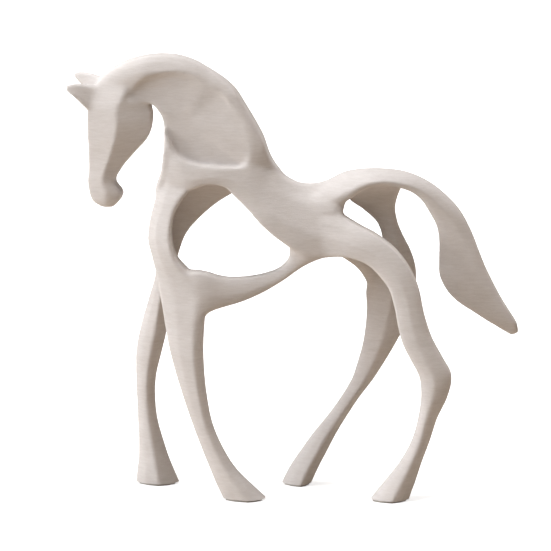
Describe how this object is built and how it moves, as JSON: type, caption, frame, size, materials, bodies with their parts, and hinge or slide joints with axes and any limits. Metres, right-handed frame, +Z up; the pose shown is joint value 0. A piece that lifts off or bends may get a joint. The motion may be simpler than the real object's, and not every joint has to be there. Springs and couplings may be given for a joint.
{
  "type": "abstract horse statue",
  "caption": "Free-standing walking horse in an openwork, ribbon-like form with arched neck, scooped neck side, open belly and swept tail, in a pale cast-stone finish.",
  "frame": {"origin": "centre of the bounding box footprint, at the underside of the hoof pads", "axes": "+Z up; the head points to -X and the tail to +X; the side with the belly strap faces -Y"},
  "size_m": [0.3032, 0.0676, 0.3007],
  "materials": {
    "cast_stone": "matt pale cream with fine striations",
    "steel": "plain drawn bar",
    "felt": "pressed felt"
  },
  "bodies": {
    "root": {"head_neck": "cast_stone", "torso": "cast_stone", "near_foreleg": "cast_stone", "far_foreleg": "cast_stone", "near_hindleg": "cast_stone", "far_hindleg": "cast_stone", "tail": "cast_stone", "neck_dowel_front": "steel", "neck_dowel_rear": "steel", "near_foreleg_dowel": "steel", "far_foreleg_dowel": "steel", "near_hindleg_dowel": "steel", "far_hindleg_dowel_flank": "steel", "far_hindleg_dowel_croup": "steel", "tail_dowel": "steel", "near_fore_pad": "felt", "far_fore_pad": "felt", "near_hind_pad": "felt", "far_hind_pad": "felt"}
  },
  "joints": []
}
